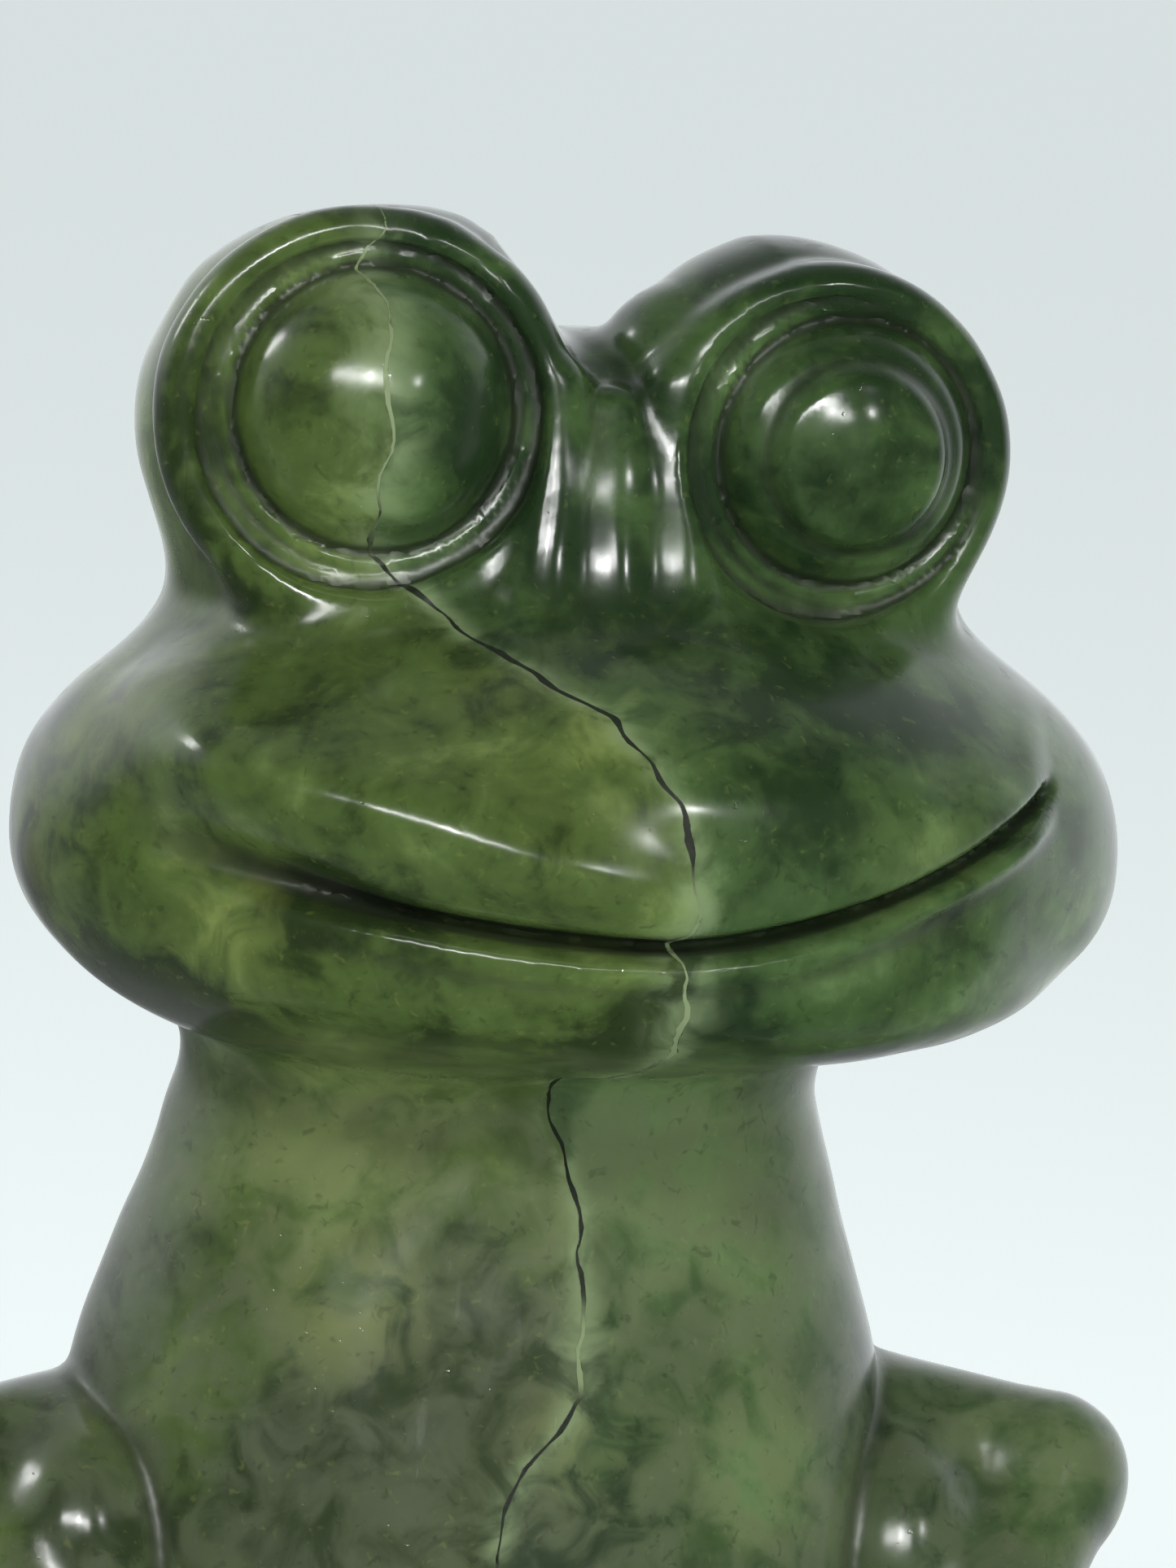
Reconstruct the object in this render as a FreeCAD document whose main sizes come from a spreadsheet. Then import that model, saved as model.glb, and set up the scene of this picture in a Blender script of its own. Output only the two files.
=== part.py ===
import FreeCAD, Part
import math
import os

# Seated frog carved from one block of jade and broken once, right through.
# Frame: origin at the centre of the flat base, +Z up, the frog looks along -Y,
# and +X is the frog's own left. All sizes are in millimetres.

Vector = FreeCAD.Vector
UP = Vector(0, 0, 1)
SIDES = {"right": -1, "left": 1}

# Driving dimensions: alias, value, meaning.
DRIVING = (
    ("total_height", 110, "base to the top of the eye bulges"),
    ("bulge_radius", 11, "ball of stone that carries each eye"),
    ("bulge_out", 11.6, "eye bulge centre, from the middle"),
    ("bulge_front", 7, "eye bulge centre, forward of the origin"),
    ("socket_radius", 7.2, "centre line of the raised eye socket ring"),
    ("socket_thickness", 1.3, "section radius of the socket ring"),
    ("eyeball_radius", 6.4, "domed eyeball"),
    ("eye_turn", 13, "how far each eye looks outwards, in degrees"),
    ("eye_lift", 6, "how far each eye looks upwards, in degrees"),
    ("fracture_gap", 0.3, "width of the filling, measured along X"),
    ("fracture_slope", 0.43, "how far the fracture moves along X per mm forward"),
    ("finger_length", 7.5, "fingers, from the back of the hand"),
    ("finger_radius", 1.7, "fingers"),
    ("toe_length", 9, "toes, from the ball of the foot"),
    ("toe_radius", 2.1, "toes"),
)

# Outlines of the three main masses, from the bottom up.
# Each section: name, half width, half depth, centre forward of the origin, height.
MAIN_MASSES = {
    "Torso": (
        ("base", 21, 19, -1, 0),
        ("haunch", 26, 21, -1, 9),
        ("belly", 25.5, 20, 0, 24),
        ("chest", 22.5, 16, 0, 42),
        ("collar", 19.5, 13, 0, 54),
        ("throat", 16.6, 11.5, 2, 64),
        ("nape", 17.5, 12, 3, 74),
    ),
    "Jaw": (
        ("gular", 15, 13, 8, 66.5),
        ("chin", 23.5, 19.5, 8, 70),
        ("jowl", 27.8, 22.5, 7.5, 74),
        ("gum", 26.6, 21.2, 7, 79),
    ),
    "Face": (
        ("palate", 25.5, 20.4, 7, 74.5),
        ("cheek", 29, 23, 7, 79.5),
        ("muzzle", 26.8, 21, 6, 87),
        ("brow", 22.8, 16, 2.5, 95),
        ("crown", 16, 10, -1, 103),
    ),
}

# Where the outline of each mass starts, in degrees from +X: apart, so that no seams cross.
SEAM_ANGLES = {"Torso": 90, "Jaw": 72, "Face": 108}

# Limb joints: name, out from the middle, forward, up, radius.
LIMB_JOINTS = (
    ("shoulder", 18.5, 1.5, 49, 5.6),
    ("elbow", 30.6, 2.5, 44.2, 4.8),
    ("wrist", 20, 17.5, 29, 4.0),
    ("palm", 17.5, 20.5, 26.5, 4.3),
    ("web", 22.5, 6, 38, 7),
    ("hip", 19, -3, 11, 8.5),
    ("knee", 25, 14, 17.5, 8.2),
    ("ankle", 22, 13, 6, 5.4),
    ("instep", 21, 20, 3.6, 4.2),
)
ARM = ("shoulder", "elbow", "wrist", "palm")
LEG = ("hip", "knee", "ankle", "instep")

# Course of the fracture where it crosses the plane Y = 0: name, X, height.
FRACTURE_COURSE = (
    ("ground", -8, -4),
    ("lap", -9.5, 24),
    ("belly", -8.5, 44),
    ("breast", -3.2, 54),
    ("gullet", -4.6, 64),
    ("lip", -10, 77),
    ("brow", -14, 89),
    ("lid", -19.5, 100),
    ("crown", -16, 114),
)

FINGER_SPREADS = (-60, -25, 10, 42)
TOE_SPREADS = (-35, 0, 35)
SECTION_MARGIN = 0.96  # a bone is a little thinner than its joints, so their surfaces cross
EYEBALL_SINK = 0.55    # how far the eyeball sinks into its bulge, in eyeball radii
PAD_SWELL = 1.15       # radius of a finger or toe pad, in finger or toe radii
FINGER_DROP = 0.45     # how far the tips sink for each mm along
TOE_DROP = 0.12


def fill_sheet(document):
    """Write every driving dimension to the sheet and return their values by alias."""
    rows = list(DRIVING)
    for name, half_width, half_depth, front, height in sum(MAIN_MASSES.values(), ()):
        rows.append((name + "_half_width", half_width, name + " section, half width"))
        rows.append((name + "_half_depth", half_depth, name + " section, half depth"))
        rows.append((name + "_front", front, name + " section, centre forward of the origin"))
        rows.append((name + "_up", height, name + " section, height above the base"))
    for name, out, front, height, radius in LIMB_JOINTS:
        rows.append((name + "_out", out, name + ", out from the middle"))
        rows.append((name + "_front", front, name + ", forward of the origin"))
        rows.append((name + "_up", height, name + ", height above the base"))
        rows.append((name + "_radius", radius, name + ", radius"))
    for name, across, height in FRACTURE_COURSE:
        rows.append((name + "_fracture_across", across, name + ", X of the fracture at Y = 0"))
        rows.append((name + "_fracture_up", height, name + ", height of that point"))
    sheet = document.addObject("Spreadsheet::Sheet", "dims")
    values = {}
    for number, (alias, value, meaning) in enumerate(rows, start=1):
        sheet.set("A%d" % number, meaning)
        sheet.set("B%d" % number, str(value))
        sheet.setAlias("B%d" % number, alias)
        values[alias] = value
    document.recompute()
    return values


def add_shape(document, kind, name, sizes, place, rotation=None):
    """Add a primitive with its sizes and its place bound to the sheet."""
    solid = document.addObject(kind, name)
    if rotation is not None:
        solid.Placement = FreeCAD.Placement(Vector(), rotation)
    for size, formula in sizes.items():
        solid.setExpression(size, formula)
    for axis, formula in zip("xyz", place):
        solid.setExpression(".Placement.Base." + axis, formula)
    return solid


def make_main_mass(document, name):
    """Loft one of the main masses through its elliptical sections, with its seam at the back."""
    sections = []
    for section, *_ in MAIN_MASSES[name]:
        sizes = {
            "MajorRadius": "dims.%s_half_width" % section,
            "MinorRadius": "dims.%s_half_depth" % section,
        }
        place = ("0", "-dims.%s_front" % section, "dims.%s_up" % section)
        ellipse = add_shape(document, "Part::Ellipse", section + "_section", sizes, place)
        ellipse.Angle1 = SEAM_ANGLES[name]
        ellipse.Angle2 = SEAM_ANGLES[name]
        sections.append(ellipse)
    mass = document.addObject("Part::Loft", name)
    mass.Sections = sections
    mass.Solid = True
    return mass


def make_eye(document, side, values):
    """Bulge, socket ring and eyeball of one side, facing outwards and a little upwards."""
    sign = SIDES[side]
    turn = math.radians(values["eye_turn"])
    lift = math.radians(values["eye_lift"])
    gaze = Vector(
        sign * math.sin(turn) * math.cos(lift),
        -math.cos(turn) * math.cos(lift),
        math.sin(lift),
    )
    centre = (
        "%d * dims.bulge_out" % sign,
        "-dims.bulge_front",
        "dims.total_height - dims.bulge_radius",
    )
    facing = FreeCAD.Rotation(UP, gaze)
    ring_reach = math.sqrt(values["bulge_radius"] ** 2 - values["socket_radius"] ** 2)
    ball_reach = values["bulge_radius"] - EYEBALL_SINK * values["eyeball_radius"]

    def ahead(reach):
        return tuple(
            "%s + %.4f" % (formula, reach * offset) for formula, offset in zip(centre, gaze)
        )

    bulge = add_shape(document, "Part::Sphere", side + "_bulge",
                      {"Radius": "dims.bulge_radius"}, centre)
    ring = add_shape(document, "Part::Torus", side + "_socket",
                     {"Radius1": "dims.socket_radius", "Radius2": "dims.socket_thickness"},
                     ahead(ring_reach), facing)
    ball = add_shape(document, "Part::Sphere", side + "_eyeball",
                     {"Radius": "dims.eyeball_radius"}, ahead(ball_reach))
    return [bulge, ring, ball]


def joint_point(values, joint, sign):
    """Place of a limb joint on one side of the frog."""
    return Vector(sign * values[joint + "_out"], -values[joint + "_front"], values[joint + "_up"])


def joint_place(joint, sign):
    """The same place, as formulas for the sheet."""
    return ("%d * dims.%s_out" % (sign, joint), "-dims.%s_front" % joint, "dims.%s_up" % joint)


def make_limb(document, side, joints, values):
    """A chain of balls at the joints with tapered bones between them."""
    sign = SIDES[side]
    solids = []
    for joint in joints:
        solids.append(add_shape(document, "Part::Sphere", "%s_%s" % (side, joint),
                                {"Radius": "dims.%s_radius" % joint}, joint_place(joint, sign)))
    for start, end in zip(joints, joints[1:]):
        direction = joint_point(values, end, sign) - joint_point(values, start, sign)
        spans = ["(dims.%s_%s - dims.%s_%s)^2" % (end, way, start, way)
                 for way in ("out", "front", "up")]
        sizes = {
            "Radius1": "dims.%s_radius * %s" % (start, SECTION_MARGIN),
            "Radius2": "dims.%s_radius * %s" % (end, SECTION_MARGIN),
            "Height": "sqrt(%s)" % " + ".join(spans),
        }
        solids.append(add_shape(document, "Part::Cone", "%s_%s_%s" % (side, start, end), sizes,
                                joint_place(start, sign), FreeCAD.Rotation(UP, direction)))
    return solids


def make_arm(document, side, values):
    """Arm with the web of stone that the carver left between it and the body."""
    web = add_shape(document, "Part::Sphere", side + "_web", {"Radius": "dims.web_radius"},
                    joint_place("web", SIDES[side]))
    return make_limb(document, side, ARM, values) + [web]


def make_digits(document, side, joint, digit, spreads, drop):
    """Fan of rounded fingers or toes from a joint; drop is how far their tips sink."""
    sign = SIDES[side]
    solids = []
    for number, spread in enumerate(spreads, start=1):
        angle = math.radians(spread)
        direction = Vector(sign * math.sin(angle), -math.cos(angle), -drop)
        direction.normalize()
        name = "%s_%s_%d" % (side, digit, number)
        place = joint_place(joint, sign)
        tip = tuple("%s + %.4f * dims.%s_length" % (formula, way, digit)
                    for formula, way in zip(place, direction))
        sizes = {"Radius": "dims.%s_radius" % digit, "Height": "dims.%s_length" % digit}
        solids.append(add_shape(document, "Part::Cylinder", name, sizes, place,
                                FreeCAD.Rotation(UP, direction)))
        solids.append(add_shape(document, "Part::Sphere", name + "_pad",
                                {"Radius": "dims.%s_radius * %s" % (digit, PAD_SWELL)}, tip))
    return solids


def fuse_mass(document, name, solids):
    """Fuse the solids of one mass of stone."""
    mass = document.addObject("Part::MultiFuse", name)
    mass.Shapes = solids
    return mass


def fuse_chain(document, name, solids):
    """Join solids one after the other, which copes with many curved surfaces."""
    joined = solids[0]
    for number, solid in enumerate(solids[1:], start=1):
        fusion = document.addObject("Part::Fuse", "%s_%d" % (name, number))
        fusion.Base = joined
        fusion.Tool = solid
        joined = fusion
    return joined


def make_core(document, values):
    """The masses that the fracture runs through: torso, jaw, face and the right eye."""
    masses = [make_main_mass(document, name) for name in MAIN_MASSES]
    masses.append(fuse_mass(document, "Right_eye", make_eye(document, "right", values)))
    return fuse_chain(document, "Core", masses)


def make_ground(document):
    """Block below the base, which cuts the feet off flat."""
    ground = document.addObject("Part::Box", "Ground")
    ground.setExpression("Length", "2 * dims.total_height")
    ground.setExpression("Width", "2 * dims.total_height")
    ground.setExpression("Height", "dims.total_height")
    ground.setExpression(".Placement.Base.x", "-dims.total_height")
    ground.setExpression(".Placement.Base.y", "-dims.total_height")
    ground.setExpression(".Placement.Base.z", "-dims.total_height")
    return ground


def make_limbs(document, side, ground, values):
    """Arm, hand, leg and foot of one side, the foot cut off flat at the base."""
    leg = make_limb(document, side, LEG, values)
    toes = make_digits(document, side, "instep", "toe", TOE_SPREADS, TOE_DROP)
    fingers = make_digits(document, side, "palm", "finger", FINGER_SPREADS, FINGER_DROP)
    foot = document.addObject("Part::Cut", side + "_foot")
    foot.Base = fuse_mass(document, side + "_leg", leg + toes)
    foot.Tool = ground
    return [
        fuse_mass(document, side + "_arm", make_arm(document, side, values)),
        fuse_mass(document, side + "_fingers", fingers),
        foot,
    ]


def fracture_points(values, shift):
    """The course of the fracture, moved by shift along X, on a plane behind the whole figure."""
    behind = 2 * values["total_height"]
    points = []
    for name, *_ in FRACTURE_COURSE:
        across = values[name + "_fracture_across"] + shift - behind * values["fracture_slope"]
        points.append(Vector(across, behind, values[name + "_fracture_up"]))
    return points


def make_fracture_side(document, name, values, low_shift, high_shift):
    """Block between two shifted copies of the fracture, drawn forward through the figure."""
    low = fracture_points(values, low_shift)
    high = fracture_points(values, high_shift)
    outline = Part.makePolygon(low + high[::-1] + low[:1])
    depth = 4 * values["total_height"]
    block = document.addObject("Part::Feature", name)
    block.Shape = Part.Face(outline).extrude(Vector(depth * values["fracture_slope"], -depth, 0))
    return block


def make_pieces(document, values):
    """Split the core along the fracture, and give each fragment the limbs of its side."""
    core = make_core(document, values)
    ground = make_ground(document)
    right_limbs = make_limbs(document, "right", ground, values)
    left_limbs = make_limbs(document, "left", ground, values)
    left_eye = fuse_mass(document, "Left_eye", make_eye(document, "left", values))
    reach = values["total_height"]
    half_gap = values["fracture_gap"] / 2
    plan = {
        "right_fragment": (-half_gap - reach, -half_gap, right_limbs),
        "fracture_fill": (-half_gap, half_gap, []),
        "left_fragment": (half_gap, half_gap + reach, [left_eye] + left_limbs),
    }
    pieces = []
    for name, (low_shift, high_shift, limbs) in plan.items():
        part = document.addObject("Part::Common", name + "_core")
        part.Base = core
        part.Tool = make_fracture_side(document, name + "_side", values, low_shift, high_shift)
        piece = fuse_chain(document, name, [part] + limbs)
        piece.Label = name
        pieces.append(piece)
    return pieces


def check_document(document, pieces):
    """Stop if any object failed to compute or any piece is empty or invalid."""
    for item in document.Objects:
        if "Invalid" in item.State or "Error" in item.State:
            raise RuntimeError("%s did not compute" % item.Name)
    for piece in pieces:
        if piece.Shape.isNull() or not piece.Shape.isValid():
            raise RuntimeError("%s has no valid shape" % piece.Label)
        if len(piece.Shape.Solids) != 1:
            raise RuntimeError("%s is %d solids" % (piece.Label, len(piece.Shape.Solids)))


def write_pieces(pieces):
    """Write each piece to its own file and print its size."""
    os.makedirs("parts", exist_ok=True)
    for piece in pieces:
        piece.Shape.exportStep("parts/%s.step" % piece.Label)
        box = piece.Shape.optimalBoundingBox()
        print("%s: %.1f x %.1f x %.1f mm, %.0f mm3" % (
            piece.Label, box.XLength, box.YLength, box.ZLength, piece.Shape.Volume))


def main():
    document = FreeCAD.newDocument("jade_frog")
    values = fill_sheet(document)
    pieces = make_pieces(document, values)
    document.recompute()
    check_document(document, pieces)
    write_pieces(pieces)


main()
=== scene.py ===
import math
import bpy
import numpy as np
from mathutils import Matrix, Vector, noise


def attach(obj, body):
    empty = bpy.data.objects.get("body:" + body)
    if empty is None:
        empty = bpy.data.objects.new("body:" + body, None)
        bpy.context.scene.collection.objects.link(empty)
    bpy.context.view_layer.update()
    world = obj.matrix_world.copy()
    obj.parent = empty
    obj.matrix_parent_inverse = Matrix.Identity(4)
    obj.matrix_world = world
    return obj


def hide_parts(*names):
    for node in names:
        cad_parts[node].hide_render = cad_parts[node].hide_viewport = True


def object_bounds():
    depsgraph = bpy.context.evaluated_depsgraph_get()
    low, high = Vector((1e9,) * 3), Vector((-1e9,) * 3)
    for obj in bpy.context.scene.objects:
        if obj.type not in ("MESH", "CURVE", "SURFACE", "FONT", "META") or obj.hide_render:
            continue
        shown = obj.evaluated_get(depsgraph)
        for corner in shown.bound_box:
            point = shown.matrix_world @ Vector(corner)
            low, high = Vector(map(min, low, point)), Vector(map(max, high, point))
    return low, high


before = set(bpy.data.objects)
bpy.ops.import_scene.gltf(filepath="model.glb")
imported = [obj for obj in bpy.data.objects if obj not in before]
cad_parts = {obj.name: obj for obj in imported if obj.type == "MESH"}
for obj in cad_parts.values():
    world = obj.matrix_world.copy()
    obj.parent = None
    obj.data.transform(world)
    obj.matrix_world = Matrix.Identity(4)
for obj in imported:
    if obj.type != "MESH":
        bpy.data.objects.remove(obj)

# A frog carved from one block of mottled green jade, broken once and filled.
# The carving is a signed distance field, in millimetres, in the frame's own axes: the frog
# looks along -Y and +X is its own left. The field is turned into one closed mesh, and a wavy
# fracture splits that mesh into the two fragments and the filling.

cad_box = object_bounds()

MM = 0.001            # the carving is worked out in millimetres, the frame is in metres
CELL = 0.33           # size of the sculpting grid
BLOCK = 8             # cells to a block, along each axis
FAR = 90.0            # well beyond the sides of the carving; a field this high means nothing here
DEEP = 50.0           # stands for the field well away from the surface
MARGIN = 2.0          # room kept round the CAD's box, and round the blocks near the surface
BATCH = 600           # blocks worked out at a time

# ---------------------------------------------------------------- field arithmetic


def blend(first, second, radius):
    """Union of two fields with a fillet of about that radius."""
    share = np.clip(0.5 + 0.5 * (second - first) / radius, 0, 1)
    return second + (first - second) * share - radius * share * (1 - share)


def carve(body, tool, radius):
    """Body with the tool cut away, the edge rounded."""
    return -blend(-body, tool, radius)


def ramp(value, low, high):
    """Smooth step from 0 at low to 1 at high."""
    share = np.clip((value - low) / (high - low), 0, 1)
    return share * share * (3 - 2 * share)


def bump(distance, width):
    """Bell of height 1 and that half width."""
    return np.exp(-(distance / width) ** 2)


def lump(p, centre, low, high, power=2.0):
    """Rounded mass whose radii differ to each side: low towards -X, -Y, -Z, high towards +."""
    total = 0
    slope = 0
    for axis in range(3):
        offset = p[axis] - centre[axis]
        radius = np.where(offset < 0, low[axis], high[axis])
        reach = np.abs(offset) / radius
        total = total + reach ** power
        slope = slope + (reach ** (power - 1) / radius) ** 2
    level = total ** (1 / power) + 1e-9
    gradient = level ** (1 - power) * np.sqrt(slope) + 1e-6
    return (level - 1) / gradient


def bone(p, start, end, start_radius, end_radius):
    """Rounded bar that tapers from one joint to the next."""
    start, end = np.array(start, float), np.array(end, float)
    span = end - start
    along = sum((p[axis] - start[axis]) * span[axis] for axis in range(3)) / span.dot(span)
    along = np.clip(along, 0, 1)
    gap = sum((p[axis] - start[axis] - along * span[axis]) ** 2 for axis in range(3))
    return np.sqrt(gap) - start_radius - (end_radius - start_radius) * along


def section_curve(rows):
    """Smooth functions of height through (height, value, value, ...) rows."""
    rows = np.array(rows, float)
    heights = np.arange(rows[0, 0] - 6, rows[-1, 0] + 6, 0.5)
    kernel = bump(np.arange(-12, 13) * 0.5, 3.0)
    kernel /= kernel.sum()
    tables = []
    for column in range(1, rows.shape[1]):
        table = np.interp(heights, rows[:, 0], rows[:, column])
        padded = np.pad(table, 12, mode="edge")
        tables.append(np.convolve(padded, kernel, "valid"))
    return lambda z: [np.interp(z, heights, table) for table in tables]


# ---------------------------------------------------------------- the carving

# height, half width, depth in front, depth behind
TORSO = section_curve((
    (0, 22.0, 17.5, 19.5),
    (10, 25.0, 20.0, 21.5),
    (24, 25.0, 20.5, 20.0),
    (40, 23.0, 17.0, 15.0),
    (50, 21.6, 14.5, 12.0),
    (58, 18.9, 12.2, 10.0),
    (66, 16.4, 10.5, 8.5),
    (76, 17.5, 11.0, 9.0),
))

# Each eye is a bulge with a round socket sunk in its front and a domed eyeball in the socket.
# turn and lift point the gaze, in degrees; along it, rim_height, socket and apex are heights over
# the centre of the bulge. rim and base are the radii of the socket's rim and of the eyeball where
# it leaves the socket, and shift moves the eyeball in the socket, along X and Z. A ring is its
# radius, width and height, or depth where that is below 0. A brow is a bar of stone: its two ends
# and their radii.
EYES = {
    "right": {"centre": (-11.4, -6.0, 99.0), "radius": 11.0, "turn": -5, "lift": 7,
              "shift": (0.4, 0.4), "rim": 9.1, "rim_height": 6.2, "rim_radius": 1.6,
              "socket": 7.3, "base": 7.0, "apex": 11.9,
              "rings": ((7.7, 0.4, 0.12), (8.1, 0.35, -0.2)),
              "brow": ((-8.5, -7.5, 102.6), (-5.6, -9.0, 101.0), 6.8, 4.8)},
    "left": {"centre": (11.7, -6.0, 98.7), "radius": 10.5, "turn": 4, "lift": 0,
             "shift": (0.8, 0.5), "rim": 8.5, "rim_height": 5.9, "rim_radius": 1.5,
             "socket": 7.2, "base": 6.6, "apex": 11.1,
             "rings": ((7.4, 0.4, 0.15), (7.8, 0.35, -0.2), (4.9, 0.5, -0.24), (4.2, 0.6, 0.12)),
             "brow": ((9.5, -7.5, 102.8), (4.9, -8.4, 102.5), 6.2, 4.2)},
}

# Upright folds between the eyes: top, foot and radius.
BRIDGE_FOLDS = (
    ((-2.2, -12.6, 101.4), (-3.2, -16.4, 90.0), 1.8),
    ((0.9, -12.8, 100.6), (0.7, -16.6, 90.0), 1.3),
    ((4.0, -12.4, 101.6), (4.6, -16.2, 90.0), 1.8),
)
NECK_FILLET = 4.0
HEAD_FROM = 56.0                          # the head's field is worked out above this height
BODY_TO = 80.0                            # and the body's below this one
LEGS_TO = 34.0
MOUTH_HEIGHT = 75.7                       # at its middle
ARM_DROPS = ((-1, 1.9), (1, 0.0))         # side, as the sign of X, and how far its arm is lowered
FINGER_SPREADS = (-52, -20, 12, 44)       # degrees from straight ahead
TOE_SPREADS = (-33, 0, 33)


def smile(x):
    """How far the mouth rises above its middle, to each side."""
    right = 3.0 * np.clip(-x / 22.6, 0, 1.3) ** 1.7
    left = 7.2 * np.clip((x - 1.0) / 22.4, 0, 1.3) ** 1.9
    return right + left


def torso_field(p):
    """Upright trunk, elliptic at each height, deeper in front than behind."""
    x, y, z = p
    width, front, back = TORSO(z)
    depth = np.where(y < 0, front, back)
    level = np.sqrt((x / width) ** 2 + (y / depth) ** 2) + 1e-9
    gradient = np.sqrt((x / width ** 2) ** 2 + (y / depth ** 2) ** 2) / level + 1e-6
    return np.maximum((level - 1) / gradient, z - BODY_TO)


def mouth_relief(p):
    """How far the surface stands out around the mouth: the two lips and the cut between."""
    x, y, z = p
    rise = z - MOUTH_HEIGHT - smile(x)
    right_side = ramp(-x, -8, 16)            # the upper lip rolls out on this side
    corner = ramp(-x, 10, 23)                # where the cut widens and softens
    flat_side = ramp(x, 1, 9)                # and the upper lip hardly stands out on this one
    roll = 1.6 + 3.4 * right_side
    upper = (1.2 + 0.9 * right_side - 0.8 * flat_side) * bump(rise - roll, 2.0 + 1.0 * right_side)
    cut = (1.5 - 0.3 * corner) * bump(rise - 0.4 * corner, 0.5 + 1.5 * corner)
    lower = 0.55 * (1 - 0.6 * corner) * bump(rise + 1.35, 0.75)
    ends = ramp(x, -25.0, -20.5) * ramp(-x, -24.2, -22.0)
    return (upper - cut + lower) * ends * ramp(-y, 8, 14)


def head_field(p):
    """Skull, cheeks, muzzle and jaw, with the folds, the mouth and the eyes on them."""
    x, y, z = p
    away = ramp(x, -14, 15)                  # the left cheek sits higher than the right
    cheek_low = 12.0 - 1.4 * away
    cheek_high = 13.0 + 1.3 * away
    cheeks = lump(p, (0.6, -5.5, 77.4), (28.1, 17.0, cheek_low), (29.9, 16.0, cheek_high), 2.35)
    skull = lump(p, (0.3, -3.0, 90.8), (19.6, 12.5, 12), (20.6, 12.5, 13.1), 2.2)
    muzzle = lump(p, (1.2, -8.5, 80.2), (24.5, 20.0, 9.0), (25.5, 15.0, 10.6), 2.1)
    jaw = lump(p, (1.0, -8.5, 73.4), (24.0, 19.2, 6.4), (24.5, 15.0, 8.0), 2.2)
    head = blend(cheeks, skull, 5.0)
    head = blend(head, muzzle, 4.5)
    head = blend(head, jaw, 2.5)
    head = blend(head, lump(p, (0.3, -7.0, 94.5), (6, 8.3, 10), (6, 7, 8.0)), 4.5)
    soften = 0.9 + 1.5 * ramp(-z, -97, -88)  # the folds melt into the muzzle at their feet
    for start, end, radius in BRIDGE_FOLDS:
        head = blend(head, bone(p, start, end, radius, 0.8 * radius), soften)
    head = head - mouth_relief(p)
    for eye in EYES.values():
        head = with_eye(p, head, eye)
    return head


def with_eye(p, head, eye):
    """Head with one eye bulge on it, and the eye's rim, socket, eyeball and turned rings."""
    turn, lift = math.radians(eye["turn"]), math.radians(eye["lift"])
    gaze = (math.sin(turn) * math.cos(lift), -math.cos(turn) * math.cos(lift), math.sin(lift))
    centre = eye["centre"]
    outward = ramp(np.abs(p[0]), 3, 12)
    eye_bulge = lump(p, centre, (eye["radius"],) * 3, (eye["radius"],) * 3)
    start, end, start_radius, end_radius = eye["brow"]
    eye_bulge = blend(eye_bulge, bone(p, start, end, start_radius, end_radius), 2.5)
    along, aside = about_axis(p, centre, gaze)
    rim = np.sqrt((aside - eye["rim"]) ** 2 + (along - eye["rim_height"]) ** 2)
    eye_bulge = blend(eye_bulge, rim - eye["rim_radius"], 1.2)
    head = blend(head, eye_bulge, 1.0 + 2.2 * outward)
    wall = np.maximum(aside - eye["rim"] + 0.4, eye["socket"] - along)
    head = carve(head, np.where(along > 0, wall, FAR), 0.9)
    seat = (centre[0] + eye["shift"][0], centre[1], centre[2] + eye["shift"][1])
    along, aside = about_axis(p, seat, gaze)
    front = ramp(along, 4, 6)
    rise = eye["apex"] - eye["socket"]
    ball_radius = (eye["base"] ** 2 + rise ** 2) / (2 * rise)
    ball = np.sqrt(aside ** 2 + (along - eye["apex"] + ball_radius) ** 2) - ball_radius
    for distance, width, height in eye["rings"]:
        ring = height * bump(aside - distance, width) * front
        if distance > eye["base"]:
            head = head - ring
        else:
            ball = ball - ring
    head = head + 0.4 * bump(aside - eye["base"] - 0.25, 0.4) * front
    return blend(head, ball, 0.3)


def about_axis(p, origin, direction):
    """Distances along and away from an axis."""
    offset = [value - middle for value, middle in zip(p, origin)]
    along = sum(value * part for value, part in zip(offset, direction))
    square = sum(value ** 2 for value in offset)
    return along, np.sqrt(np.maximum(square - along ** 2, 0))


def arm_field(p, sign, drop):
    """One arm, folded, its hand on the knee. drop lowers its shoulder and elbow."""
    shoulder, elbow = (sign * 21.5, -0.5, 44.2 - drop), (sign * 30.9, -3.0, 43.6 - drop)
    wrist, palm = (sign * 20.5, -17.0, 29.0), (sign * 18.0, -20.0, 25.5)
    arm = bone(p, shoulder, elbow, 5.5, 4.4)
    arm = blend(arm, bone(p, elbow, wrist, 4.2, 3.7), 1.0)
    arm = blend(arm, lump(p, (sign * 22.0, -5.0, 37.5), (5.5, 7, 9), (5.5, 7, 9)), 2.0)
    arm = blend(arm, bone(p, wrist, palm, 3.9, 4.2), 1.5)
    for spread in FINGER_SPREADS:
        angle = math.radians(spread)
        tip = (palm[0] + sign * 7.0 * math.sin(angle), palm[1] - 6.2 * math.cos(angle),
               palm[2] - 3.6)
        arm = blend(arm, bone(p, palm, tip, 1.9, 1.6), 0.6)
    return arm


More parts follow.
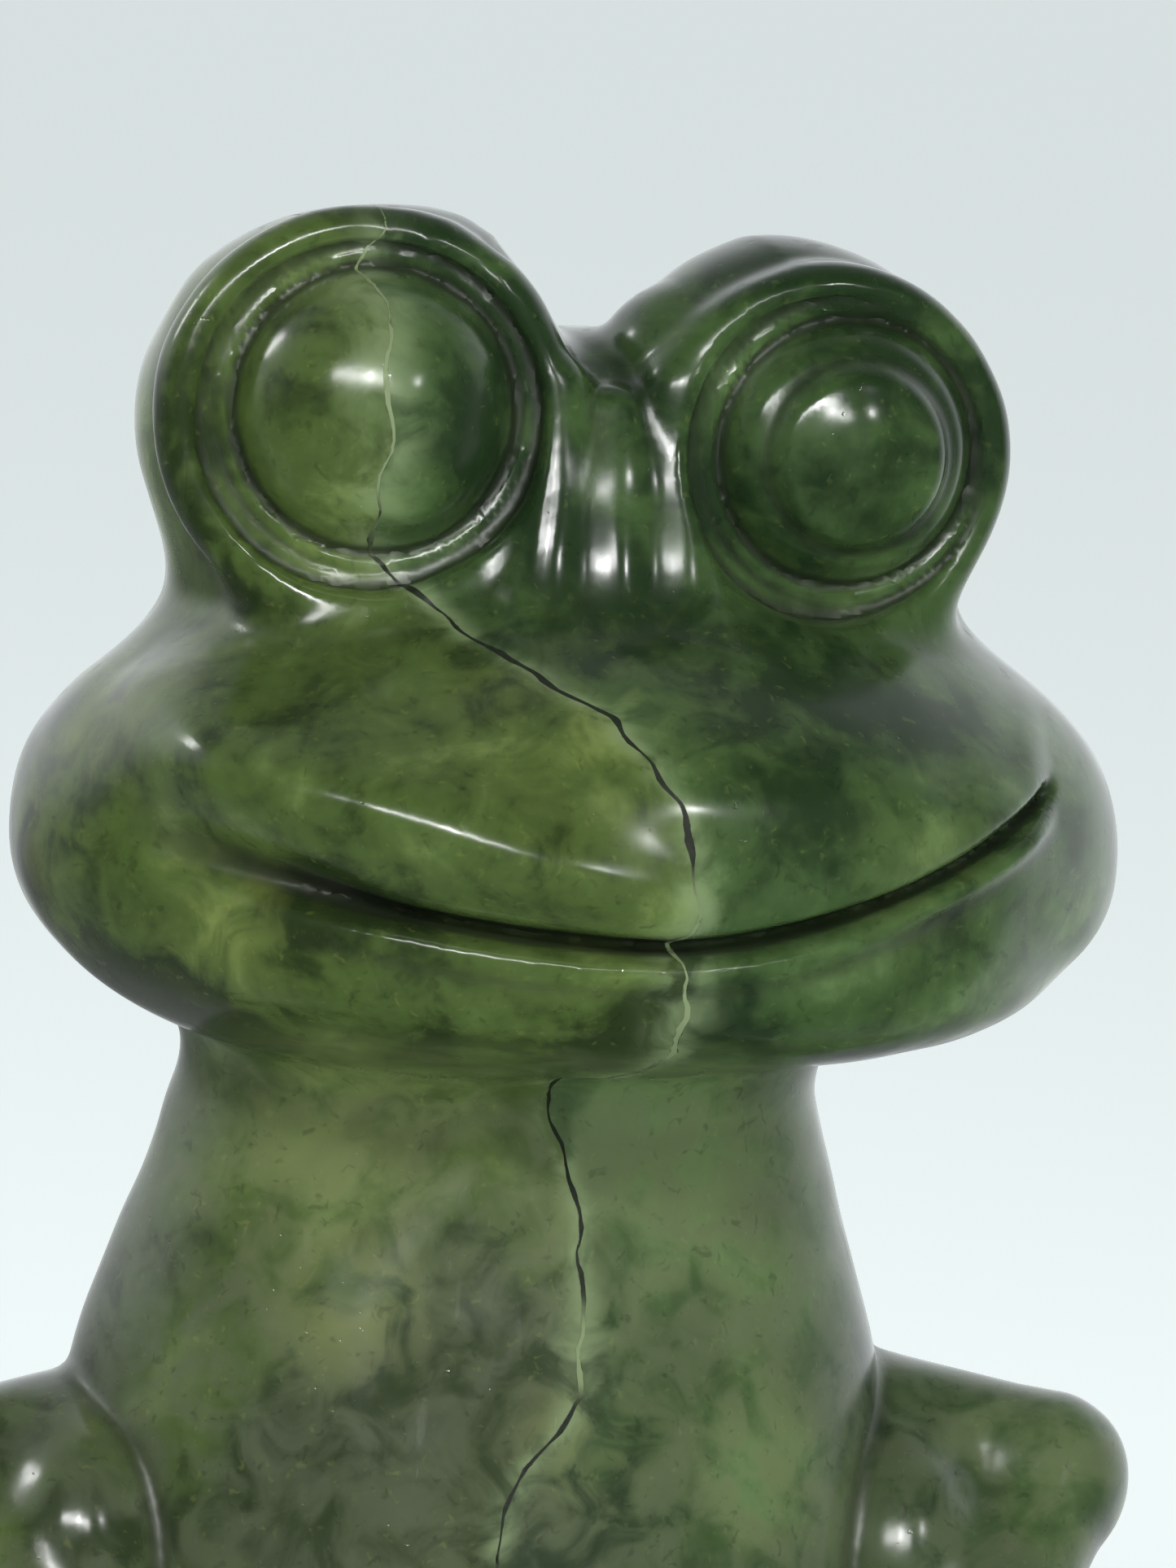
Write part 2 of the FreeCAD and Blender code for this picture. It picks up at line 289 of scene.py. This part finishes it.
def leg_field(p, sign):
    """One leg, folded, its foot flat on the ground."""
    hip, knee = (sign * 17.5, 4.0, 11.5), (sign * 25.0, -13.5, 17.0)
    ankle, instep = (sign * 21.5, -11.0, 5.0), (sign * 20.5, -19.5, 3.0)
    leg = bone(p, hip, knee, 10.5, 7.6)
    shin = blend(bone(p, knee, ankle, 6.6, 5.2), bone(p, ankle, instep, 4.6, 4.0), 2.0)
    leg = blend(leg, shin, 1.5)
    for spread in TOE_SPREADS:
        angle = math.radians(spread)
        tip = (instep[0] + sign * 8.6 * math.sin(angle), instep[1] - 9.0 * math.cos(angle), 1.9)
        leg = blend(leg, bone(p, (instep[0], instep[1], 2.6), tip, 2.3, 2.0), 0.7)
    return leg


def body_field(p):
    """Trunk, legs and arms."""
    body = torso_field(p)
    for sign, drop in ARM_DROPS:
        low = p[2] < LEGS_TO
        leg = np.full(p[0].shape, FAR)
        leg[low] = leg_field([value[low] for value in p], sign)
        body = blend(body, leg, 1.0)
        body = blend(body, arm_field(p, sign, drop), 0.8)
    return body


def hand_finish(p):
    """Slight unevenness left by carving and polishing by hand."""
    x, y, z = p
    warp = 2.1 * np.sin(z * 0.13 + 1.0) + 1.7 * np.sin(x * 0.17 - y * 0.11)
    broad = np.sin(x * 0.31 + warp) * np.sin(z * 0.27 - warp) * np.sin(y * 0.23 + 0.7 * warp)
    return 0.16 * broad + 0.02 * np.sin(x * 1.1 + 3 * warp) * np.sin(z * 0.9 - 2 * warp)


def figure_field(points):
    """Signed distance to the whole carving, negative inside, at an array of points."""
    height = points[:, 2]
    field = np.full(len(points), FAR)
    low, high = height < BODY_TO, height > HEAD_FROM
    if low.any():
        field[low] = body_field(list(points[low].T))
    if high.any():
        field[high] = blend(field[high], head_field(list(points[high].T)), NECK_FILLET)
    field += hand_finish(list(points.T))
    return np.maximum(field, -height)


# ---------------------------------------------------------------- from field to mesh

PROBE = 0.06          # how far apart the field is felt to find its slope
SOLE = 0.3            # vertices this low stay on the flat base


def sample_blocks(low, counts):
    """Field values on the grid, worked out only in the blocks near the surface."""
    shape = tuple(count * BLOCK + 1 for count in counts)
    field = np.full(shape, DEEP, np.float32)
    centres = np.stack(np.meshgrid(*[np.arange(count) for count in counts], indexing="ij"), -1)
    centres = centres.reshape(-1, 3)
    places = low + (centres + 0.5) * BLOCK * CELL
    coarse = figure_field(places)
    reach = BLOCK * CELL * math.sqrt(3) / 2 + MARGIN
    for i, j, k in centres[coarse <= -reach] * BLOCK:
        field[i:i + BLOCK + 1, j:j + BLOCK + 1, k:k + BLOCK + 1] = -DEEP
    near = centres[np.abs(coarse) < reach]
    local = np.stack(np.meshgrid(*[np.arange(BLOCK + 1)] * 3, indexing="ij"), -1).reshape(-1, 3)
    for first in range(0, len(near), BATCH):
        blocks = near[first:first + BATCH]
        cells = (blocks[:, None, :] * BLOCK + local[None, :, :]).reshape(-1, 3)
        values = figure_field(low + cells * CELL)
        field[cells[:, 0], cells[:, 1], cells[:, 2]] = values
    return field


def surface_nets(field):
    """Vertices, in cells, and outward quads of the zero level of a grid of field values."""
    inside = field < 0
    cells = tuple(size - 1 for size in field.shape)
    corners = [(i, j, k) for i in (0, 1) for j in (0, 1) for k in (0, 1)]
    count = np.zeros(cells, np.uint8)
    for i, j, k in corners:
        count += inside[i:i + cells[0], j:j + cells[1], k:k + cells[2]]
    active = np.argwhere((count > 0) & (count < 8))
    index = np.full(cells, -1, np.int64)
    index[tuple(active.T)] = np.arange(len(active))
    total = np.zeros((len(active), 3))
    crossings = np.zeros(len(active))
    for corner in corners:
        for axis in range(3):
            if corner[axis]:
                continue
            start = active + corner
            end = start.copy()
            end[:, axis] += 1
            first, second = field[tuple(start.T)], field[tuple(end.T)]
            crossed = (first < 0) != (second < 0)
            share = np.where(crossed, first / np.where(crossed, first - second, 1), 0)
            total += np.where(crossed[:, None], start + share[:, None] * (end - start), 0)
            crossings += crossed
    vertices = total / crossings[:, None]
    quads = []
    for axis in range(3):
        step = [0, 0, 0]
        step[axis] = 1
        here = inside[:field.shape[0] - step[0], :field.shape[1] - step[1],
                      :field.shape[2] - step[2]]
        there = inside[step[0]:, step[1]:, step[2]:]
        u, v = [(1, 2), (2, 0), (0, 1)][axis]
        edges = np.argwhere(here != there)
        edges = edges[(edges[:, u] > 0) & (edges[:, v] > 0)]
        edges = edges[(edges[:, u] < cells[u]) & (edges[:, v] < cells[v])]
        ring = []
        for du, dv in ((-1, -1), (0, -1), (0, 0), (-1, 0)):
            cell = edges.copy()
            cell[:, u] += du
            cell[:, v] += dv
            ring.append(index[tuple(cell.T)])
        ring = np.stack(ring, 1)
        leaving = inside[tuple(edges.T)]
        quads.append(np.where(leaving[:, None], ring, ring[:, ::-1]))
    return vertices, np.concatenate(quads)


def settle(vertices, rounds=2):
    """Move vertices onto the exact surface along the field's gradient."""
    probes = np.array(((1, 1, 1), (1, -1, -1), (-1, 1, -1), (-1, -1, 1))) * PROBE
    for _ in range(rounds):
        values = [figure_field(vertices + probe) for probe in probes]
        gradient = sum(value[:, None] * probe for value, probe in zip(values, probes))
        gradient /= (probes ** 2).sum() / 3
        value = sum(values) / 4
        steepness = np.maximum((gradient ** 2).sum(1), 0.05)
        move = -gradient * (value / steepness)[:, None]
        length = np.linalg.norm(move, axis=1, keepdims=True)
        move *= np.minimum(1, 0.5 * CELL / np.maximum(length, 1e-9))
        flat = vertices[:, 2] < SOLE
        move[flat, 2] = 0
        vertices = vertices + move
    vertices[:, 2] = np.maximum(vertices[:, 2], 0)
    return vertices


def new_mesh(name, vertices, faces):
    """Smooth-shaded object from vertices in millimetres."""
    mesh = bpy.data.meshes.new(name)
    mesh.from_pydata((np.asarray(vertices) * MM).tolist(), [], np.asarray(faces).tolist())
    mesh.update()
    mesh.shade_smooth()
    piece = bpy.data.objects.new(name, mesh)
    bpy.context.scene.collection.objects.link(piece)
    return piece


def carve_figure():
    """Vertices and quads of the whole carving, in millimetres."""
    low = np.array(cad_box[0]) / MM - MARGIN
    high = np.array(cad_box[1]) / MM + MARGIN
    counts = np.ceil((high - low) / (CELL * BLOCK)).astype(int)
    field = sample_blocks(low, counts)
    vertices, quads = surface_nets(field)
    vertices = settle(low + vertices * CELL)
    return vertices, quads


# ---------------------------------------------------------------- the fracture

FRACTURE_SLOPE = 0.43                     # how far it moves along X per millimetre forward
FRACTURE_ROUGHNESS = ((9.0, 0.7), (3.0, 0.6), (1.3, 0.35))    # size and amount of its waves
BACK_WANDER, BACK_FROM = 4.0, 12.0        # it strays this much more once this far back
SHEET_STEP = 0.6
SHEET_DEPTHS, SHEET_HEIGHTS = (-36, 28), (-4, 116)    # past the figure on every side
SHARP_ANGLE = 50.0                        # edges sharper than this stay sharp, in degrees
# The crack is this wide, against its width on the body, above each height: eye, then muzzle.
OPENNESS = ((94.0, 0.6), (80.0, 1.5))
# height, X of the fracture where it crosses Y = 0
FRACTURE = section_curve((
    (-6, -8.0), (24, -9.5), (43, -10.0), (46, -7.6), (50, -3.4), (60, -3.4), (66, -5.5),
    (71, -8.4), (75, -9.6), (80, -9.8), (84, -10.8), (88, -12.9), (91, -16.0), (94, -18.4),
    (100, -19.8), (105, -19.0), (116, -15.0),
))


def fracture_x(y, z):
    """X of the fracture surface at that depth and height, with its small unevenness."""
    rough = 0.0
    for size, amount in FRACTURE_ROUGHNESS:
        rough += amount * noise.noise(Vector((y / size, z / size, 3.7)))
    back = min(max(y / BACK_FROM, 0), 1)
    rough += BACK_WANDER * back * noise.noise(Vector((y / 22, z / 13, 6.4)))
    return float(FRACTURE(z)[0]) - FRACTURE_SLOPE * y + rough


def fracture_block(name, low, high):
    """Closed solid between two sheets, each a function of (y, z)."""
    ys = np.arange(*SHEET_DEPTHS, SHEET_STEP)
    zs = np.arange(*SHEET_HEIGHTS, SHEET_STEP)
    vertices = [(sheet(y, z), y, z) for sheet in (low, high) for y in ys for z in zs]
    rows, columns = len(ys), len(zs)
    faces = []
    for i in range(rows - 1):
        for j in range(columns - 1):
            a = i * columns + j
            quad = (a, a + 1, a + columns + 1, a + columns)
            faces.append(quad)
            faces.append(tuple(corner + rows * columns for corner in quad[::-1]))
    rim = list(range(columns))
    rim += [i * columns + columns - 1 for i in range(1, rows)]
    rim += [(rows - 1) * columns + j for j in range(columns - 2, -1, -1)]
    rim += [i * columns for i in range(rows - 2, 0, -1)]
    for here, there in zip(rim, rim[1:] + rim[:1]):
        faces.append((there, here, here + rows * columns, there + rows * columns))
    return new_mesh(name, vertices, faces)


def half_gap(y, z):
    """Half the width of the crack, which is finest in the eye and widest on the muzzle."""
    wide = noise.noise(Vector((y / 4.0, z / 4.0, 9.1))) + noise.noise(Vector((y, z, 2.6)))
    openness = next((share for height, share in OPENNESS if z > height), 1.0)
    return openness * min(max(0.10 + 0.12 * wide, 0.05), 0.22)


def split(name, figure, block):
    """The part of the figure that lies in the block, as an object of its own."""
    piece = figure.copy()
    piece.data = figure.data.copy()
    piece.name = name
    bpy.context.scene.collection.objects.link(piece)
    cut = piece.modifiers.new("fracture", "BOOLEAN")
    cut.operation = "INTERSECT"
    cut.solver = "MANIFOLD"
    cut.object = block
    bpy.context.view_layer.update()
    whole = piece.evaluated_get(bpy.context.evaluated_depsgraph_get())
    mesh = bpy.data.meshes.new_from_object(whole)
    piece.modifiers.clear()
    piece.data = mesh
    mesh.name = name
    mesh.materials.clear()
    mesh.set_sharp_from_angle(angle=math.radians(SHARP_ANGLE))
    return piece


def remove(*objects):
    """Delete objects and their meshes."""
    for item in objects:
        mesh = item.data
        bpy.data.objects.remove(item)
        bpy.data.meshes.remove(mesh)


# ---------------------------------------------------------------- materials


def plain_material(name, colour, roughness):
    """Material of one colour all over."""
    material = bpy.data.materials.new(name)
    material.use_nodes = True
    shader = material.node_tree.nodes["Principled BSDF"]
    shader.inputs["Base Color"].default_value = (*colour, 1)
    shader.inputs["Roughness"].default_value = roughness
    return material


# Paler and darker clouds in the stone, and darker patches of painted shade: centre, radius, how much
# paler, how much yellower.
CLOUDS_AND_PAINTED_SHADE = (
    ((-17.0, -18.0, 75.3), 3.2, 0.18, 0.9),
    ((-22.0, -12.0, 84.0), 4.0, 0.05, 0.3),
    # Painted shade under the jaw and in the hollow at the mouth's corner.
    ((-20.0, -14.0, 69.5), 5.5, -0.24, 0.0),
    ((-26.0, -8.0, 77.0), 4.0, -0.16, 0.3),
    ((-2.0, -24.0, 86.0), 6.0, 0.12, 0.2),
    ((-14.0, -20.0, 86.0), 5.0, -0.10, 0.0),
    # Painted shade under the upper lip and under the chin.
    ((-14.0, -22.0, 77.3), 3.5, -0.32, 0.0),
    ((2.0, -26.0, 69.5), 4.5, -0.24, 0.0),
    ((4.0, -22.0, 90.0), 7.0, -0.14, 0.0),
    ((9.0, -25.0, 84.0), 6.0, -0.10, 0.0),
    ((15.0, -24.0, 80.0), 3.5, 0.10, 0.3),
    ((-11.0, -10.0, 62.0), 6.0, 0.16, 0.3),
    ((-10.0, -13.0, 54.0), 3.5, 0.12, 0.4),
    ((-3.5, -15.0, 49.0), 9.0, -0.26, 0.0),
    ((-1.0, -18.0, 36.0), 12.0, -0.12, 0.1),
    ((2.5, -15.0, 47.5), 3.0, 0.18, 0.4),
    ((7.0, -11.0, 60.0), 8.0, 0.24, 0.2),
    ((13.0, -13.0, 46.0), 5.0, 0.16, 0.3),
    ((29.0, -6.0, 44.0), 6.0, 0.12, 0.2),
    # Painted shade in the hollow between the eyes.
    ((0.0, -8.0, 95.0), 6.0, -0.24, 0.0),
    # Painted shade on top of the left eye's hood.
    ((13.0, -10.0, 108.0), 7.0, -0.28, 0.0),
    ((-7.0, -17.0, 99.0), 4.0, -0.14, 0.0),
    # Painted shade on top of the right eye's hood.
    ((-12.0, -9.0, 110.0), 5.0, -0.10, 0.0),
)
OPEN_EDGES = ((74.0, 6.0), (103.0, 10.0), (52.0, 2.5))    # heights where the filling is pale
BEND_REACH = 0.7                  # how far round a point its bend is felt


def paint(piece):
    """Store what the materials need to know of each vertex, as 0 to 1 attributes."""
    mesh = piece.data
    flat = np.zeros(len(mesh.vertices) * 3)
    mesh.vertices.foreach_get("co", flat)
    points = flat.reshape(-1, 3) / MM
    x, y, z = points.T
    steps = np.concatenate((np.eye(3), -np.eye(3))) * BEND_REACH
    around = sum(figure_field(points + step) for step in steps) / len(steps)
    bend = (around - figure_field(points)) / BEND_REACH
    gap = x - np.array([fracture_x(*place) for place in points[:, 1:].tolist()])
    pale, yellow = np.zeros(len(x)), np.zeros(len(x))
    # Clouds: the stone's own paler, darker and yellower patches, and patches of painted shade.
    for centre, radius, paler, yellower in CLOUDS_AND_PAINTED_SHADE:
        near = bump(np.linalg.norm(points - np.array(centre), axis=1), radius)
        pale += paler * near
        yellow += yellower * near
    bare = np.clip(sum(bump(z - height, width) for height, width in OPEN_EDGES), 0, 1)
    milky = 0.8 * ramp(-z, -70, -60)
    values = {"milky": milky,
              # crevice: how hollow the surface is; it drives the painted shade and the duller polish
              # in the creases.
              "crevice": np.clip(-bend * 5, 0, 1),
              "crack": bump(gap, 0.7 + 0.9 * bare),
              "pale": np.clip(0.5 + pale, 0, 1),
              "yellow": np.clip(yellow, 0, 1),
              # Where the seam filling is near black: everywhere but the open edges.
              "seam_dark": 1 - bare}
    for name, value in values.items():
        layer = mesh.attributes.new(name, "FLOAT", "POINT")
        layer.data.foreach_set("value", value.astype(np.float32))


def feed(tree, socket, value):
    """Link a socket to another node's output, or give it a fixed value."""
    if isinstance(value, bpy.types.NodeSocket):
        tree.links.new(value, socket)
    else:
        socket.default_value = value


def join(tree, operation, first, second=0.0):
    """Output of a math node."""
    node = tree.nodes.new("ShaderNodeMath")
    node.operation = operation
    feed(tree, node.inputs[0], first)
    feed(tree, node.inputs[1], second)
    return node.outputs[0]


def map_range(tree, value, low, high, to_low=0.0, to_high=1.0):
    """Smooth step of the value, from one number to another."""
    node = tree.nodes.new("ShaderNodeMapRange")
    node.interpolation_type = "SMOOTHSTEP"
    for socket, number in zip(("From Min", "From Max", "To Min", "To Max"),
                              (low, high, to_low, to_high)):
        node.inputs[socket].default_value = number
    tree.links.new(value, node.inputs["Value"])
    return node.outputs["Result"]


class Nodes:
    """Short ways to add and join shader nodes in one material."""

    def __init__(self, name):
        self.material = bpy.data.materials.new(name)
        self.material.use_nodes = True
        self.tree = self.material.node_tree
        self.shader = self.tree.nodes["Principled BSDF"]
        self.place = self.tree.nodes.new("ShaderNodeTexCoord").outputs["Object"]

    def put(self, socket, value):
        """Feed a socket of this material."""
        feed(self.tree, socket, value)

    def noise(self, size, detail=4, distortion=0.0, stretch=None):
        """Noise from 0 to 1 whose features are about that many millimetres across."""
        node = self.tree.nodes.new("ShaderNodeTexNoise")
        node.inputs["Scale"].default_value = 1 / (size * MM)
        node.inputs["Detail"].default_value = detail
        node.inputs["Distortion"].default_value = distortion
        place = self.place
        if stretch:
            mapping = self.tree.nodes.new("ShaderNodeMapping")
            mapping.inputs["Scale"].default_value = stretch
            self.put(mapping.inputs["Vector"], place)
            place = mapping.outputs["Vector"]
        self.put(node.inputs["Vector"], place)
        return node.outputs["Fac"]

    def attribute(self, name):
        """One of the values that paint stored."""
        node = self.tree.nodes.new("ShaderNodeAttribute")
        node.attribute_name = name
        return node.outputs["Fac"]

    def math(self, operation, first, second=0.0):
        """Two values joined by one operation."""
        return join(self.tree, operation, first, second)

    def spread(self, value, low, high, to_low=0.0, to_high=1.0):
        """Value spread smoothly over another range."""
        return map_range(self.tree, value, low, high, to_low, to_high)

    def mix(self, share, first, second):
        """Colour between two others."""
        node = self.tree.nodes.new("ShaderNodeMix")
        node.data_type = "RGBA"
        self.put(node.inputs["Factor"], share)
        for socket, value in zip(("A", "B"), (first, second)):
            sockets = [item for item in node.inputs if item.name == socket]
            value = value if isinstance(value, bpy.types.NodeSocket) else (*value, 1)
            self.put(sockets[2], value)
        return [item for item in node.outputs if item.name == "Result"][2]

    def bump(self, height, distance, strength):
        """Relief on the shader's normal, its full height in millimetres."""
        node = self.tree.nodes.new("ShaderNodeBump")
        node.inputs["Distance"].default_value = distance * MM
        node.inputs["Strength"].default_value = strength
        self.put(node.inputs["Height"], height)
        self.put(self.shader.inputs["Normal"], node.outputs["Normal"])


MILKY = (0.072, 0.086, 0.053)     # the cloudy greyer green of the body
BRUISED = (0.18, 0.24, 0.12)      # crushed stone along the break
# Near black, for the painted shade in the creases and the dark stretches of the seam filling.
NEAR_BLACK = (0.010, 0.014, 0.007)
STONE_INDEX = 1.61                # refractive index of jade


def jade_colour(jade, dark, middle, light, yellow):
    """Clouds of green with patches of painted shade, yellow veils, fine specks, crushed stone and
    painted shade in the cuts.
    """
    clouds = jade.noise(9, 5, 0.6)
    veils = jade.noise(3.2, 4, 0.9)
    specks = jade.noise(0.7, 2)
    total = jade.math("MULTIPLY", clouds, 0.62)
    total = jade.math("ADD", total, jade.math("MULTIPLY", veils, 0.30))
    total = jade.math("ADD", total, jade.math("MULTIPLY", specks, 0.08))
    # The pale attribute carries the clouds, painted shade among them.
    total = jade.math("ADD", total, jade.math("SUBTRACT", jade.attribute("pale"), 0.5))
    colour = jade.mix(jade.spread(total, 0.36, 0.52), dark, middle)
    colour = jade.mix(jade.spread(total, 0.50, 0.72), colour, light)
    milk = jade.math("MULTIPLY", jade.attribute("milky"), jade.spread(veils, 0.3, 0.65, 0.15, 0.9))
    colour = jade.mix(milk, colour, MILKY)
    tint = jade.math("MULTIPLY", jade.attribute("yellow"), jade.spread(veils, 0.35, 0.6))
    colour = jade.mix(jade.math("MULTIPLY", tint, 0.7), colour, yellow)
    flecks = jade.spread(jade.noise(0.6, 2, 0.4), 0.62, 0.78, 0.0, 0.14)
    colour = jade.mix(flecks, colour, yellow)
    grains = jade.spread(jade.noise(0.8, 2, 0.8), 0.40, 0.26, 0.0, 0.3)
    colour = jade.mix(grains, colour, tuple(0.35 * part for part in dark))
    bruise = jade.math("MULTIPLY", jade.attribute("crack"), jade.spread(veils, 0.35, 0.6, 0.1, 0.65))
    colour = jade.mix(bruise, colour, BRUISED)
    # Painted shade: the hollows of the carving darkened towards near black.
    crease_shade = jade.math("MULTIPLY", jade.attribute("crevice"), 0.8)
    colour = jade.mix(crease_shade, colour, NEAR_BLACK)
    jade.put(jade.shader.inputs["Base Color"], colour)


def jade_gloss(jade):
    """Polish that is uneven, finely scratched, and duller in the cuts."""
    polish = jade.spread(jade.noise(5, 3), 0.3, 0.7, 0.14, 0.24)
    rubbed = jade.math("MULTIPLY", jade.attribute("crevice"), 0.3)
    scratches = jade.noise(1.6, 3, 0.2, (1.0, 1.0, 0.08))
    polish = jade.math("ADD", polish, rubbed)
    polish = jade.math("ADD", polish, jade.spread(scratches, 0.62, 0.7, 0.0, 0.08))
    jade.put(jade.shader.inputs["Roughness"], polish)


def jade_material(name, dark, middle, light, yellow):
    """Mottled, polished stone that light enters a little way."""
    jade = Nodes(name)
    jade_colour(jade, dark, middle, light, yellow)
    jade_gloss(jade)
    jade.shader.inputs["IOR"].default_value = STONE_INDEX
    jade.shader.inputs["Subsurface Weight"].default_value = 0.15
    jade.shader.inputs["Subsurface Radius"].default_value = (0.5, 1.0, 0.4)
    jade.shader.inputs["Subsurface Scale"].default_value = 2 * MM
    pits = jade.math("MULTIPLY", jade.spread(jade.noise(0.5, 2), 0.3, 0.2), -1.0)
    waves = jade.math("MULTIPLY", jade.noise(1.2, 3, 0.0, (1.0, 1.0, 0.3)), 0.5)
    jade.bump(jade.math("ADD", pits, waves), 0.03, 0.35)
    return jade.material


def filling_material():
    """Pale glue, near black along most of the break."""
    glue = Nodes("pale_filling")
    tint = glue.math("ADD", glue.math("MULTIPLY", glue.attribute("seam_dark"), 0.6),
                      glue.math("MULTIPLY", glue.noise(3, 3), 0.6))
    colour = glue.mix(glue.spread(tint, 0.45, 0.75), (0.16, 0.21, 0.10), NEAR_BLACK)
    glue.put(glue.shader.inputs["Base Color"], colour)
    glue.put(glue.shader.inputs["Roughness"], glue.spread(glue.noise(0.6), 0.3, 0.7, 0.35, 0.7))
    glue.bump(glue.noise(0.4), 0.05, 0.6)
    return glue.material


def right_jade():
    """The yellower stone of the right fragment."""
    return jade_material("jade_yellow_green", (0.017, 0.030, 0.0085), (0.056, 0.090, 0.022),
                         (0.155, 0.215, 0.066), (0.250, 0.280, 0.070))


def left_jade():
    """The bluer, darker stone of the left fragment."""
    return jade_material("jade_blue_green", (0.012, 0.027, 0.009), (0.038, 0.072, 0.022),
                         (0.110, 0.175, 0.065), (0.200, 0.250, 0.075))


# ---------------------------------------------------------------- build


def break_figure():
    """The carving as its right fragment, its left fragment and the filling between them."""
    def right_face(y, z):
        return fracture_x(y, z) - half_gap(y, z)

    def left_face(y, z):
        return fracture_x(y, z) + half_gap(y, z)

    vertices, quads = carve_figure()
    figure = new_mesh("figure", vertices, quads)
    blocks = (fracture_block("right_block", lambda y, z: -FAR, right_face),
              fracture_block("left_block", left_face, lambda y, z: FAR),
              fracture_block("fill_block", right_face, left_face))
    names = ("jade_right", "jade_left", "seam_filling")
    pieces = [split(name, figure, block) for name, block in zip(names, blocks)]
    remove(figure, *blocks)
    return pieces


def dress(piece, material, node):
    """Paint a piece and put it in the place of one CAD node."""
    piece.data.materials.append(material)
    paint(piece)
    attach(piece, "root")
    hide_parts(node)


right, left, seam = break_figure()
dress(right, right_jade(), "right_fragment")
dress(left, left_jade(), "left_fragment")
dress(seam, filling_material(), "fracture_fill")

# ---------------------------------------------------------------- stage, lights and camera

FLOOR_SIZE = 12.0                        # metres
PAPER = (0.74, 0.80, 0.79)
HEAD = Vector((0, 0, 0.86 * cad_box[1][2]))    # what the lights point at
REACH = 0.62                             # lights to head, metres


def add_floor():
    """Wide sheet of pale paper, which glows a little so that it stays even."""
    bpy.ops.mesh.primitive_plane_add(size=FLOOR_SIZE, location=(0, 0, 0))
    floor = bpy.context.object
    floor.name = "pale_floor"
    paper = plain_material("pale_paper", PAPER, 0.9)
    shader = paper.node_tree.nodes["Principled BSDF"]
    shader.inputs["Emission Color"].default_value = (*PAPER, 1)
    shader.inputs["Emission Strength"].default_value = 0.55
    floor.data.materials.append(paper)
    floor.visible_glossy = False


def direction(azimuth, elevation):
    """Unit vector that many degrees round from -Y towards +X, and that many up."""
    turn, lift = math.radians(azimuth), math.radians(elevation)
    return Vector((math.sin(turn) * math.cos(lift), -math.cos(turn) * math.cos(lift),
                   math.sin(lift)))


def add_light(name, azimuth, elevation, width, height, power, distance=REACH):
    """Area light round the figure, turned to its head."""
    data = bpy.data.lights.new(name, "AREA")
    data.shape = "RECTANGLE"
    data.size = width
    data.size_y = height
    data.energy = power
    light = bpy.data.objects.new(name, data)
    away = direction(azimuth, elevation)
    light.location = HEAD + away * distance
    light.rotation_euler = (-away).to_track_quat("-Z", "Y").to_euler()
    bpy.context.scene.collection.objects.link(light)
    return light


def add_lights():
    add_light("lamp_one", -14, 32, 0.035, 0.035, 0.35)
    add_light("lamp_two", 24, 32, 0.035, 0.035, 0.22)
    add_light("window", -19, 31, 0.42, 0.07, 1.7)
    add_light("left_strip", -112, 30, 0.07, 0.16, 0.45)
    fill = add_light("fill", 14, 12, 0.3, 0.3, 5.3, 0.95)
    fill.visible_glossy = False


def add_world():
    """A room dark in front and bright behind, darker above and below; a plain backdrop."""
    world = bpy.data.worlds.new("studio")
    bpy.context.scene.world = world
    world.use_nodes = True
    tree = world.node_tree
    room = tree.nodes["Background"]
    place = tree.nodes.new("ShaderNodeTexCoord")
    parts = tree.nodes.new("ShaderNodeSeparateXYZ")
    tree.links.new(place.outputs["Generated"], parts.inputs[0])
    behind = map_range(tree, parts.outputs["Y"], -0.35, 0.60, 0.06, 1.2)
    overhead = map_range(tree, parts.outputs["Z"], 0.45, 0.9, 1.0, 0.25)
    tilt = join(tree, "ADD", parts.outputs["Z"], join(tree, "MULTIPLY", parts.outputs["X"], 0.3))
    above = map_range(tree, tilt, -0.45, 0.05, 0.2, 1.0)
    strength = join(tree, "MULTIPLY", join(tree, "MULTIPLY", behind, overhead), above)
    room.inputs["Color"].default_value = (0.93, 0.97, 1.0, 1)
    tree.links.new(strength, room.inputs["Strength"])
    backdrop = tree.nodes.new("ShaderNodeBackground")
    backdrop.inputs["Color"].default_value = (0.65, 0.72, 0.72, 1)
    path = tree.nodes.new("ShaderNodeLightPath")
    mix = tree.nodes.new("ShaderNodeMixShader")
    tree.links.new(path.outputs["Is Camera Ray"], mix.inputs["Fac"])
    tree.links.new(room.outputs[0], mix.inputs[1])
    tree.links.new(backdrop.outputs[0], mix.inputs[2])
    tree.links.new(mix.outputs[0], tree.nodes["World Output"].inputs["Surface"])


DISTANCE = 400.0                       # camera to target, millimetres
SCALE = 23.8                           # picture units to a millimetre at the target
PICTURE_HEIGHT = 1927                  # the picture's long side, in the same units
SENSOR = 36.0
AIM = Vector((1.9, -8.0, 80.9))
AZIMUTH, ELEVATION, ROLL = -13.5, 8.0, 4.0


def add_camera():
    """Long lens in front of the face, a little to its right and above, rolled slightly."""
    data = bpy.data.cameras.new("camera")
    data.sensor_width = SENSOR
    data.lens = SENSOR * SCALE * DISTANCE / PICTURE_HEIGHT
    data.clip_start = 0.01
    data.clip_end = 50
    camera = bpy.data.objects.new("camera", data)
    away = direction(AZIMUTH, ELEVATION)
    turn = away.to_track_quat("Z", "Y").to_matrix()
    turn = turn @ Matrix.Rotation(math.radians(ROLL), 3, "Z")
    place = (AIM + away * DISTANCE) * MM
    camera.matrix_world = Matrix.Translation(place) @ turn.to_4x4()
    bpy.context.scene.collection.objects.link(camera)
    bpy.context.scene.camera = camera


add_floor()
add_world()
add_lights()
add_camera()
bpy.context.scene.view_settings.view_transform = "Standard"
